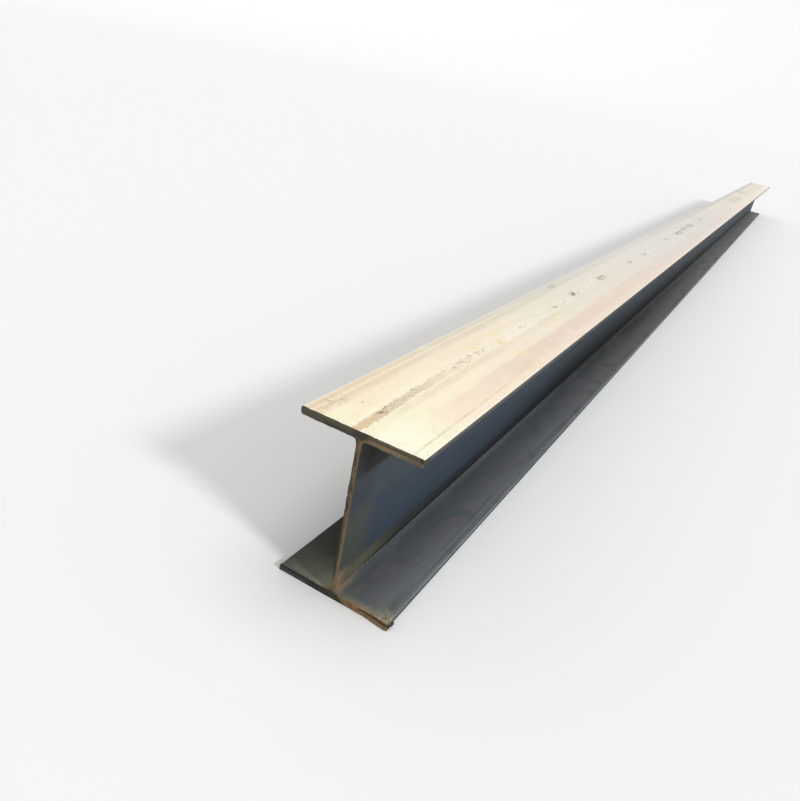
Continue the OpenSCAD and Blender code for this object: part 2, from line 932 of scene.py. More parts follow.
@dataclass(frozen=True)
class CrownPaintedGlare:
    """The upper face: dark mill scale painted pale cream as painted sun glare and sky reflection, with real
    stains and its flaked strip over the web.
    """

    body: Stops = drift(
        (0.0, "f7efcd"), (0.3, "f8efd4"), (0.7, "f2e6d0"), (1.5, "e8e0cf"), (3.0, "e2ddd4"), (5.0, "ddd8d1"),
        (7.5, "e6ded2"), (12.0, "e6ddcd"),
    )
    blush: Stops = drift(
        (0.0, "f9f1d8"), (0.2, "f8e8cf"), (0.45, "f0ddc7"), (0.7, "ead6c2"), (1.0, "e8d4c4"), (2.0, "e6d6c7"),
        (3.5, "e2d6cd"), (5.0, "dfd4cb"), (7.5, "ede1d2"), (12.0, "f3e8da"),
    )
    outer: Stops = drift(
        (0.2, "f8ecd5"), (0.45, "f6e5ce"), (0.7, "f0ddc9"), (1.3, "eedbca"), (3.0, "e7dad0"), (12.0, "f3e8da")
    )
    # left_band darkens further along, in part as painted shade along the crown's left edge.
    left_band: Stops = drift(
        (0.0, "e8d4b3"), (0.2, "e7d4b7"), (0.45, "e1d4bc"), (0.8, "dad0bd"), (1.5, "d8d3c5"), (3.0, "d8d5ce"),
        (6.0, "cfcbc2"), (12.0, "cbc4b8"),
    )
    strip: Stops = drift(
        (0.0, "dabd96"), (0.09, "d8be9b"), (0.12, "d3c09f"), (0.25, "d8c7aa"), (0.45, "dfceaf"),
        (12.0, "e0d2b8"),
    )
    highlight_white: Colour = tone("faf9df")
    fleck: Colour = tone("6f654b")
    soot: Colour = tone("75736b")
    far_soot: Colour = tone("85837b")
    ochre: Colour = tone("f4e2b0")
    orange: Colour = tone("eecfa2")
    # edge: the pale burr along the edges with a painted highlight on it, also used for the pale patches.
    edge: Colour = tone("fdf8ea")
    ochre_smudges: tuple[Smudge, ...] = (
        Smudge(665, -45, 40, 20, 0.6),
        Smudge(735, 130, 35, 20, 0.7),
        Smudge(755, 115, 30, 10, 0.4),
        Smudge(770, 65, 30, 25, 0.65),
        Smudge(835, -50, 40, 20, 0.65),
        Smudge(890, 40, 35, 20, 0.45),
        Smudge(1130, 30, 35, 30, 0.6),
        Smudge(1240, 25, 50, 20, 0.5),
    )
    orange_smudges: tuple[Smudge, ...] = (
        Smudge(790, -10, 40, 15, 0.75),
        Smudge(820, -25, 40, 10, 0.5),
        Smudge(480, -10, 25, 10, 0.6),
    )
    flake_smudges: tuple[Smudge, ...] = (
        Smudge(110, -22, 12, 7, 0.95),
        Smudge(118, -12, 8, 5, 0.5),
        Smudge(115, -72, 10, 4, 0.5),
    )
    soot_smudges: tuple[Smudge, ...] = (
        Smudge(1000, -20, 35, 10, 0.8),
        Smudge(1335, -20, 40, 10, 0.85),
        Smudge(1600, -28, 55, 26, 1.0),
        Smudge(1610, -125, 50, 22, 0.55),
    )
    far_smudges: tuple[Smudge, ...] = (
        Smudge(2025, -30, 90, 26, 0.85),
        Smudge(2560, -20, 60, 18, 0.75),
        Smudge(2900, -15, 60, 12, 0.65),
        Smudge(3630, -30, 60, 20, 0.5),
        Smudge(4080, -22, 170, 34, 0.95),
        Smudge(4350, -30, 300, 30, 0.5),
        Smudge(4610, -24, 150, 32, 0.9),
        Smudge(5180, -30, 90, 34, 0.6),
        Smudge(7900, -20, 800, 110, 0.3),
        Smudge(9300, -60, 500, 70, 0.4),
    )

    @staticmethod
    def stains(w: Wiring, place: Socket, near: float, smudges: Sequence[Smudge]) -> Socket:
        """One mask for several stains.

        Args:
            w: The material's wiring.
            place: The coordinate that is read.
            near: Where the near end lies along the length.
            smudges: The stains.

        Returns:
            The mask.
        """
        masks = []
        for s in smudges:
            centre = (s.across * MM, near + s.along * MM, 0)
            half = (s.half_width * MM, s.half_length * MM, 0)
            masks.append(w.times(w.spot(place, centre, half), s.strength))
        return w.most(*masks)

    def ground(self, w: Wiring, along: Socket) -> Socket:
        """The broad, soft colour bands along the face, all on a pale cream that paints the sun's glare and
        the sky's reflection.

        Args:
            w: The material's wiring.
            along: Distance from the near end.

        Returns:
            The colour.
        """
        soft = w.cloud((22, 2.2, 8), detail=3, warp=0.3, shift=4)
        mottle = w.centred(w.cloud((60, 26, 8), detail=5, rough=0.65, warp=0.5, shift=24))
        bend = w.plus(w.x, w.swing(soft, 0.03), w.times(mottle, 0.016))
        ahead = w.plus(along, w.times(soft, 0.2), w.times(mottle, 0.12))
        coat = Coat(w, w.ramp(along, self.body))
        blush = w.times(w.band(bend, 0.068, 0.120, 0.009), w.ease(ahead, 0.15, 0.32))
        coat.lay(w.ramp(along, self.blush), blush)
        wide = w.times(w.ease(bend, 0.03, 0.075), w.ease(along, 1.6, 3.0), 0.7)
        coat.lay(w.ramp(along, self.blush), wide)
        outer = w.times(w.ease(bend, 0.110, 0.124), w.ease(ahead, 0.16, 0.45), 0.85)
        coat.lay(w.ramp(along, self.outer), outer)
        rosy = w.times(
            w.band(bend, -0.105, -0.062, 0.02),
            w.ease(along, 0.04, 0.12),
            w.ease(along, 1.1, 0.7),
            0.45,
        )
        coat.lay("f3dfc3", rosy)
        left = w.ease(bend, -0.088, -0.119)
        coat.lay(w.ramp(along, self.left_band), left)
        cream = w.times(
            w.band(w.plus(w.x, w.times(mottle, 0.008)), -0.127, -0.122, 0.005),
            w.ease(along, 1.6, 0.9),
            0.5,
        )
        coat.lay("f7ecd2", cream)
        verge = w.times(w.ease(w.x, -0.139, -0.146), w.ease(along, 2.5, 0.6, 0.25, 0.6))
        coat.lay("f2e7ca", verge)
        beside = w.times(
            w.band(bend, -0.003, 0.014, 0.012),
            w.ease(along, 0.05, 0.2),
            w.ease(along, 0.9, 0.55),
            0.7,
        )
        coat.lay("e9d7bc", beside)
        grey = w.times(
            w.band(bend, 0.003, 0.016, 0.009),
            w.ease(along, 0.58, 0.72),
            w.ease(along, 1.4, 0.95, 0.25, 1.0),
        )
        grey = w.times(grey, w.ease(along, 4.0, 1.4), w.ease(soft, 0.40, 0.58, 0.15, 0.65))
        coat.lay("dccebb", grey)
        # Painted highlight: the crown lightens to near white close to the near end.
        glow = w.times(w.ease(along, 0.24, 0.03), w.ease(bend, 0.0, 0.05))
        coat.lay(self.highlight_white, glow)
        return coat.colour

    def flakes(self, w: Wiring, coat: Coat, along: Socket, crumb: Socket) -> tuple[Socket, Socket]:
        """Lays the flaked strip over the web, its pale rim with a painted highlight on the raised edges, and
        the dashes and pale chips beyond it.

        Args:
            w: The material's wiring.
            coat: The face's colour.
            along: Distance from the near end.
            crumb: The crumbly pattern that frays the edges.

        Returns:
            The strip's mask, and the dark flecks' mask, which in part paints the shadow of the strip's raised
            edge.
        """
        wobble = w.swing(w.cloud((75, 70, 60), detail=5, rough=0.75, shift=6), 22 * MM)
        teeth = w.swing(w.cloud((40, 120, 60), detail=2, rough=0.5, shift=63), 14 * MM)
        aside = w.plus(w.x, wobble, teeth, w.swing(crumb, 10 * MM), w.ease(along, 0.1, 0.3, 0.0, 4 * MM))
        rags = w.ease(w.cloud((110, 60, 60), detail=5, rough=0.7, warp=0.4, shift=13), 0.46, 0.55)
        whole = w.ease(w.plus(along, w.swing(crumb, 0.5)), 0.52, 0.28)
        core = w.times(w.band(aside, -0.0245, -0.0045, 0.0015), whole)
        fading = w.times(w.ease(along, 0.28, 0.42), w.ease(along, 0.85, 0.5))
        broken = w.times(w.band(aside, -0.029, -0.006, 0.003), rags, fading, 0.85)
        strip = w.most(core, broken)
        # Pale rim round the strip, in part a painted highlight on the flakes' raised edges.
        rim = w.times(w.band(aside, -0.034, 0.003, 0.003), w.ease(along, 1.5, 0.5))
        coat.lay("fcf4df", rim, w.ease(crumb, 0.44, 0.54), 0.75)

        flaky = w.ease(along, 0.08, 0.14, 0.35, 1.0)
        scale = Coat(w, w.ramp(along, self.strip))
        scale.lay("eadcbf", w.ease(rags, 0.2, 0.8), flaky, 0.45)
        scale.lay("9a8866", w.ease(crumb, 0.52, 0.63), flaky, 0.85)
        scale.lay("f8efd6", w.ease(crumb, 0.45, 0.36), flaky, 0.95)
        coat.lay(scale.colour, strip, 0.92)
        # Dark flecks along the strip's left edge, in part a painted shadow of the flakes' raised edge.
        flecks = w.times(
            w.most(
                w.band(aside, -0.0275, -0.0225, 0.0025),
                w.times(w.band(aside, -0.0250, -0.0110, 0.0030), w.ease(along, 0.42, 0.50), 0.75),
            ),
            w.ease(w.cloud((130, 60, 60), detail=5, rough=0.72, shift=21), 0.55, 0.61),
            w.ease(along, 0.09, 0.11),
            w.most(w.ease(along, 0.34, 0.26), w.band(along, 0.48, 0.68, 0.06), 0.35),
            w.ease(along, 1.0, 0.75),
        )
        coat.lay(
            self.soot,
            w.band(aside, -0.032, -0.008, 0.004),
            w.ease(w.cloud((180, 32, 60), detail=4, rough=0.72, shift=25), 0.60, 0.66),
            w.ease(along, 0.7, 1.0),
            w.ease(along, 3.6, 2.4),
            0.6,
        )
        coat.lay(
            "fdfaf0",
            w.band(aside, -0.036, 0.004, 0.006),
            w.ease(w.cloud((170, 30, 60), detail=4, rough=0.7, warp=0.3, shift=41), 0.54, 0.62),
            w.ease(along, 0.55, 0.9),
            w.ease(along, 2.6, 1.6),
            0.65,
        )
        return strip, flecks

    def marks(self, w: Wiring, coat: Coat, near: float, flecks: Socket) -> Socket:
        """Lays the dark flecks and the stains.

        Args:
            w: The material's wiring.
            coat: The face's colour.
            near: Where the near end lies along the length.
            flecks: The mask of the flecks beside the strip.

        Returns:
            The mask of all the dark flecks.
        """
        place = w.swirled((60, 30, 60), (0.022, 0.05, 0.0))
        flecks = w.most(w.times(flecks, 0.8), self.stains(w, place, near, self.flake_smudges))
        coat.lay(self.fleck, flecks)
        coat.lay(self.ochre, self.stains(w, place, near, self.ochre_smudges))
        coat.lay(self.orange, self.stains(w, place, near, self.orange_smudges))
        speck = w.ease(w.cloud((80, 34, 80), detail=5, rough=0.72, shift=31), 0.38, 0.60)
        coat.lay(self.soot, self.stains(w, place, near, self.soot_smudges), speck)
        drawn = w.ease(w.cloud((55, 9, 30), detail=5, rough=0.7, shift=43), 0.42, 0.58, 0.15, 1.0)
        coat.lay(self.far_soot, self.stains(w, place, near, self.far_smudges), drawn)
        return flecks

    def margins(self, w: Wiring, coat: Coat, along: Socket, crumb: Socket, streaks: Socket) -> None:
        """Lays the wear near the face's edges: a drawn line, loose scale, scratches and the bright rim, a
        pale burr with a painted highlight on it.

        Args:
            w: The material's wiring.
            coat: The face's colour.
            along: Distance from the near end.
            crumb: The crumbly pattern.
            streaks: The long streaks left by the rolls.
        """
        coat.lay(
            "d9bd9a",
            w.band(w.plus(w.x, w.swing(streaks, 0.006)), 0.1210, 0.1235, 0.0045),
            w.ease(w.cloud((60, 24, 10), detail=5, rough=0.75, shift=17), 0.36, 0.60, 0.1, 1.0),
            w.ease(along, 0.9, 0.3),
            0.6,
        )
        scaly = w.times(w.ease(w.x, 0.128, 0.136), w.ease(along, 5.0, 2.0))
        coat.lay("e0c8aa", scaly, w.ease(crumb, 0.52, 0.62), 0.6)
        coat.lay("fff8ea", scaly, w.ease(crumb, 0.46, 0.38), 0.8)
        coat.lay(
            "b28f66",
            w.band(w.x, -0.134, -0.100, 0.010),
            w.band(along, 0.018, 0.100, 0.020),
            w.ease(w.cloud((70, 230, 60), detail=3, rough=0.6, warp=1.6, shift=8), 0.55, 0.62),
            0.8,
        )
        corner = w.times(w.ease(w.x, 0.132, 0.146), w.ease(along, 0.016, 0.004), w.ease(crumb, 0.44, 0.54))
        coat.lay("b48f6c", corner, 0.7)
        # Bright rim along both toes and the near cut: a pale burr with a painted highlight.
        sides = w.most(w.ease(w.x, 0.1455, 0.1475), w.ease(w.x, -0.1465, -0.1478))
        coat.lay(self.edge, w.most(sides, w.ease(along, 0.003, 0.001)), 0.75)

    def material(self, near: float) -> bpy.types.Material:
        """Builds the material.

        Args:
            near: Where the near end lies along the length.

        Returns:
            The material.
        """
        w = Wiring("crown_painted_glare")
        along = w.math("SUBTRACT", w.y, near)
        streaks = w.cloud((70, 2.2, 30), detail=4, rough=0.55)
        patch = w.cloud((30, 14, 20), detail=5, rough=0.62, warp=0.5, shift=9)
        grain = w.cloud((420, 300, 300), detail=3, rough=0.6, shift=2)
        crumb = w.cloud((210, 105, 120), detail=5, rough=0.72, shift=6)
        coat = Coat(w, self.ground(w, along))
        coat.lay("e4d8c4", w.ease(streaks, 0.50, 0.8, 0.0, 0.16), blend=Blend.MULTIPLY)
        coat.lay("dcc9ad", w.ease(patch, 0.5, 0.8, 0.0, 0.30))
        coat.lay(self.edge, w.ease(patch, 0.48, 0.25, 0.0, 0.30))
        strip, flecks = self.flakes(w, coat, along, crumb)
        flecks = self.marks(w, coat, near, flecks)
        self.margins(w, coat, along, crumb, streaks)
        coat.lay(w.tint(w.ease(grain, 0.35, 0.7, 0.95, 1.03)), 1.0, blend=Blend.MULTIPLY)

        rough = w.plus(w.ease(patch, 0.3, 0.7, 0.5, 0.62), w.times(strip, 0.2))
        heights = [
            (w.plus(w.less(strip), w.times(crumb, 0.6), w.less(flecks)), 0.30 * MM),
            (w.plus(grain, w.times(patch, 1.2)), 0.10 * MM),
        ]
        return w.finish(coat.colour, rough, heights, specular=0.3)


@dataclass(frozen=True)
class ScaleAndPaintedShade:
    """Slate mill scale on the web, the flanges' inner faces, the toes and the underside, with painted shade
    under the upper flange, at the root and on the left ledge.
    """

    blue: Colour = tone("323d48")
    violet: Colour = tone("3a4048")
    olive: Colour = tone("3e413a")
    shade: Colour = tone("14150f")
    half_shade: Colour = tone("1f211f")
    dust: Colour = tone("565245")
    tan: Colour = tone("75634f")
    root_shade: Colour = tone("1c1e1d")
    fillet: Colour = tone("42474a")
    ledge: Stops = drift(
        (0.010, "4b5156"), (0.040, "4f5458"), (0.075, "5b5d61"), (0.110, "64686b"), (0.140, "62676a")
    )
    far_ledge: Stops = drift(
        (0.010, "3c403d"), (0.040, "454946"), (0.075, "5c5f5c"), (0.110, "63665f"), (0.140, "62625c")
    )
    # left_near and left_far paint light and shade on the left ledge: lighter near the end and the web, darker
    # further along and outwards.
    left_near: Stops = drift(
        (0.020, "888a7d"), (0.055, "767869"), (0.095, "626457"), (0.140, "4e5047")
    )
    left_far: Stops = drift(
        (0.090, "484b44"), (0.140, "40423b"), (0.200, "383b35"), (0.400, "2f322d"), (0.900, "3c4145")
    )
    mauve: Colour = tone("5f5b60")
    moss: Colour = tone("4b534d")
    fringe: Colour = tone("837a64")
    toe: Colour = tone("232527")
    sole: Colour = tone("3a3733")
    rust: Colour = tone("5d4730")

    def web(self, w: Wiring, along: Socket, right: Socket, drop: Socket, turn: Socket) -> Socket:
        """The colour of the web and of the root fillets, with a painted shadow under the upper flange,
        painted shade at the root and painted glints along the fillets.

        Args:
            w: The material's wiring.
            along: Distance from the near end.
            right: 1 on the right of the web.
            drop: Height above the lower flange.
            turn: How far round the root the place is: negative up the web, positive out along the flange.

        Returns:
            The colour.
        """
        streaks = w.cloud((55, 1.6, 70), detail=4, rough=0.6)
        fine = w.cloud((70, 40, 70), detail=5, rough=0.62, shift=5)
        broad = w.cloud((13, 2.4, 9), detail=4, warp=0.5, shift=3)
        other = w.cloud((16, 4.0, 11), detail=4, warp=0.5, shift=19)
        jog = w.centred(fine)

        high = w.ease(w.plus(w.z, w.swing(broad, 0.06)), 0.205, 0.265)
        coat = Coat(w, w.mix(high, self.blue, self.violet))
        coat.lay("313d43", w.ease(other, 0.5, 0.7, 0.0, 0.5))
        coat.lay("272b30", w.ease(streaks, 0.5, 0.75, 0.0, 0.35))
        end = w.ease(w.plus(along, w.swing(other, 0.08), w.times(jog, 0.03)), 0.125, 0.07)
        coat.lay(self.olive, end, w.less(high), 0.85)
        coat.lay("23282d", end, high, 0.4)
        coat.lay("1b232a", w.ease(along, 0.8, 2.4), w.ease(along, 8.0, 4.0, 0.6, 1.0), 0.7)
        # Painted shadow of the upper flange on the right of the web above about 0.324 m, darkest near the
        # end; the from_right lamp also casts it.
        shadow = w.ease(w.plus(w.z, w.times(jog, 0.004)), 0.321, 0.327)
        deeper = w.ease(along, 0.012, 0.055, 0.70, 1.0)
        flange_shadow = w.mix(w.ease(w.z, 0.340, 0.372), self.half_shade, self.shade)
        coat.lay(flange_shadow, shadow, right, deeper, w.ease(along, 0.3, 0.7, 1.0, 0.3))

        # Painted shade in the corner at the root: darker near the root from 0.22 m on, darker and higher from
        # 0.5 m on, and a dark band near the end; the dust and tan laid next are colour.
        near_root = w.plus(drop, w.times(jog, 0.022), w.swing(broad, 0.02))
        low = w.times(w.ease(near_root, 0.066, 0.044), w.ease(drop, -2 * MM, 2 * MM))
        shaded_root = w.times(w.ease(near_root, 0.058, 0.034), w.ease(drop, -2 * MM, 2 * MM))
        coat.lay(self.root_shade, shaded_root, w.ease(along, 0.22, 0.5), 0.7)
        upwards = w.times(w.ease(near_root, 0.16, 0.04), w.ease(drop, -2 * MM, 2 * MM))
        deep = w.times(upwards, w.ease(along, 0.5, 2.0), w.ease(along, 8.0, 4.0, 0.35, 0.95))
        coat.lay("111514", deep)
        dusk = w.times(low, w.ease(along, 0.62, 0.3), 0.85)
        coat.lay("2f322e", dusk)
        dusty = w.times(low, w.ease(along, 0.30, 0.10), w.ease(fine, 0.25, 0.55, 0.65, 1.0))
        coat.lay(self.dust, dusty)
        tan = w.times(
            w.ease(near_root, 0.074, 0.042),
            w.ease(w.plus(along, w.times(jog, 0.03)), 0.045, 0.012),
        )
        coat.lay(self.tan, tan, 0.9)
        crease = w.times(w.band(turn, -0.016, -0.0075, 0.003), w.ease(along, 0.08, 0.18), 0.7)
        coat.lay("1a1e1f", crease)
        fillet = Coat(w, w.mix(w.ease(along, 0.12, 0.03), self.fillet, "6b604f"))
        fillet.lay("1e2221", w.ease(along, 0.9, 2.2), 0.85)
        coat.lay(fillet.colour, w.band(turn, -0.0065, 0.010, 0.0015))
        glint = w.times(
            w.most(w.band(turn, -0.0062, -0.0042, 0.001), w.band(turn, 0.0075, 0.0095, 0.001)),
            w.ease(w.cloud((30, 160, 30), detail=2, rough=0.6, shift=27), 0.42, 0.60),
            w.ease(along, 0.02, 0.08),
            w.ease(along, 2.0, 0.9),
        )
        coat.lay("6b6e6c", glint, 0.8)
        return coat.colour

    def shelf(self, w: Wiring, along: Socket, out: Socket, right: Socket) -> Socket:
        """The colour of the lower flange's upper face; on the left it is painted lighter near the end and the
        web, and painted shaded further along and outwards.

        Args:
            w: The material's wiring.
            along: Distance from the near end.
            out: Distance from the web.
            right: 1 on the right of the web.

        Returns:
            The colour.
        """
        broad = w.cloud((17, 5.0, 9), detail=4, warp=0.5, shift=53)
        other = w.cloud((21, 7.0, 11), detail=4, warp=0.5, shift=47)
        fine = w.cloud((85, 60, 85), detail=5, rough=0.65, shift=35)
        lines = w.cloud((300, 1.2, 40), detail=3, rough=0.6, shift=33)
        dots = w.cloud((60, 170, 40), detail=2, rough=0.6, shift=37)
        ragged = w.plus(along, w.swing(fine, 0.035))

        coat = Coat(w, w.mix(w.ease(along, 0.9, 3.0), w.ramp(out, self.ledge), w.ramp(out, self.far_ledge)))
        coat.lay("7f817c", w.ease(along, 2.8, 6.5), 0.6)
        coat.lay(self.mauve, w.ease(broad, 0.50, 0.66, 0.0, 0.6))
        coat.lay(self.moss, w.ease(other, 0.52, 0.68, 0.0, 0.65))
        outer = w.times(w.ease(out, 0.108, 0.122), w.ease(along, 0.12, 0.3, 0.4, 1.0))
        light = w.times(outer, w.ease(lines, 0.50, 0.62), w.ease(dots, 0.3, 0.6, 0.3, 1.0), 0.55)
        coat.lay("70757a", light)
        coat.lay("3b4244", outer, w.ease(lines, 0.48, 0.38), 0.6)
        fringe = w.times(w.ease(ragged, 0.028, 0.004), w.ease(out, 0.005, 0.06, 0.3, 1.0))
        coat.lay(self.fringe, fringe)
        corner = w.times(w.ease(out, 0.09, 0.13), w.ease(ragged, 0.055, 0.012), 0.85)
        coat.lay(w.mix(w.ease(fine, 0.45, 0.6), "767260", "a59c84"), corner)
        pale = w.times(w.ease(broad, 0.4, 0.7), w.ease(ragged, 0.10, 0.03), 0.5)
        coat.lay("66675a", pale)
        crust = w.times(w.ease(along, 0.006, 0.003), w.ease(out, 0.05, 0.12), w.ease(fine, 0.35, 0.55), 0.8)
        coat.lay("b3a78e", crust)

        # Painted light and shade on the left ledge: lighter near the end, darker further along.
        inwards = w.plus(along, w.swing(fine, 0.03))
        left_lit_and_shaded = w.mix(w.ease(inwards, 0.03, 0.13), w.ramp(out, self.left_near), w.ramp(along, self.left_far))
        left = Coat(w, left_lit_and_shaded)
        left.lay("3a3d36", w.ease(other, 0.46, 0.70, 0.0, 0.45))
        left.lay("8d9083", w.ease(fine, 0.50, 0.72), w.ease(along, 0.12, 0.04), 0.3)
        lichen = w.times(w.ease(out, 0.045, 0.01), w.ease(along, 0.06, 0.01), w.ease(fine, 0.35, 0.6))
        left.lay("8c8c63", lichen, 0.7)
        spot = w.times(w.ease(out, 0.022, 0.010), w.ease(along, 0.016, 0.004))
        left.lay("97743f", spot)
        return w.mix(right, left.colour, coat.colour)

    def material(self, near: float, section: RolledSection) -> bpy.types.Material:
        """Builds the material.

        Args:
            near: Where the near end lies along the length.
            section: The section, for where its faces lie.

        Returns:
            The material.
        """
        w = Wiring("mill_scale_and_painted_shade")
        along = w.math("SUBTRACT", w.y, near)
        across = w.math("ABSOLUTE", w.x)
        right = w.ease(w.x, -0.002, 0.002)
        out = w.math("SUBTRACT", across, section.web / 2)
        drop = w.math("SUBTRACT", w.z, section.flange)
        turn = w.math("SUBTRACT", out, drop)
        on_ledge = w.times(w.ease(turn, 2 * MM, 12 * MM), w.ease(drop, 6 * MM, 2 * MM))
        upper = section.depth - section.flange
        side = w.most(w.ease(w.z, 11 * MM, 8 * MM), w.ease(w.z, upper + 2 * MM, upper + 4 * MM))
        on_toe = w.times(w.ease(across, 0.08, 0.1), side)
        on_sole = w.ease(w.z, 3 * MM, 1.5 * MM)
        fine = w.cloud((130, 60, 130), detail=4, rough=0.62, shift=55)
        bloom = w.cloud((24, 15, 24), detail=5, rough=0.7, warp=0.5, shift=15)
        speckle = w.cloud((380, 240, 380), detail=3, rough=0.65, shift=7)
        rolled = w.cloud((210, 7, 210), detail=3, rough=0.6, shift=61)

        web = self.web(w, along, right, drop, turn)
        coat = Coat(w, w.mix(on_ledge, web, self.shelf(w, along, out, right)))
        toe = Coat(w, w.mix(w.ease(fine, 0.45, 0.7), self.toe, "332f2a"))
        upper_toe = w.mix(w.ease(w.z, upper + 8 * MM, upper + 16 * MM), "3a3e42", "59534d")
        lit = w.times(w.ease(w.z, upper, upper + 3 * MM), w.ease(along, 1.0, 3.0, 1.0, 0.35))
        toe.lay(upper_toe, lit)
        coat.lay(toe.colour, on_toe, 0.95)
        jagged = w.plus(along, w.swing(fine, 0.02))
        at_corner = w.times(
            w.ease(across, 0.13, 0.14),
            w.ease(w.z, section.flange - 2 * MM, section.flange - 4 * MM),
        )
        burnt = w.times(w.most(on_toe, at_corner), w.ease(jagged, 0.034, 0.024), 0.92)
        coat.lay(w.mix(w.ease(speckle, 0.54, 0.62), "1d1b17", "6f6654"), burnt)
        at_side = w.ease(across, section.width / 2 - 4.5 * MM, section.width / 2 - 2.5 * MM)
        clinker = w.times(at_side, w.ease(jagged, 0.03, 0.02), w.band(w.z, 0.0175, 0.03, 0.003))
        coat.lay(w.mix(w.ease(speckle, 0.46, 0.58), "3f3a2e", "a89c82"), clinker)
        bulge = w.times(w.ease(across, section.width / 2 + 1 * MM, section.width / 2 + 3 * MM), 0.95)
        coat.lay(w.mix(w.ease(speckle, 0.54, 0.62), "1d1b17", "7a705c"), bulge)
        sole = Coat(w, w.mix(w.ease(fine, 0.45, 0.7), self.sole, self.rust))
        sole.lay("34383a", w.ease(bloom, 0.5, 0.62))
        coat.lay(sole.colour, on_sole)
        hidden = w.most(w.less(right), w.ease(along, 4.0, 7.0), on_sole, w.ease(w.z, 0.415, 0.420))
        hidden = w.times(hidden, w.ease(along, 0.25, 0.6))
        coat.lay(self.rust, w.ease(bloom, 0.58, 0.72), w.plus(w.times(hidden, 0.4), 0.06))
        coat.lay(w.tint(w.ease(speckle, 0.3, 0.7, 1.0, 1.22)), 1.0, blend=Blend.MULTIPLY)

        rough = w.plus(w.ease(fine, 0.3, 0.7, 0.50, 0.62), w.times(on_ledge, 0.06))
        heights = [
            (w.plus(w.times(rolled, w.plus(w.times(on_ledge, 0.8), 0.25)), w.times(fine, 0.6)), 0.18 * MM),
            (speckle, 0.07 * MM),
        ]
        return w.finish(coat.colour, rough, heights, specular=0.12)


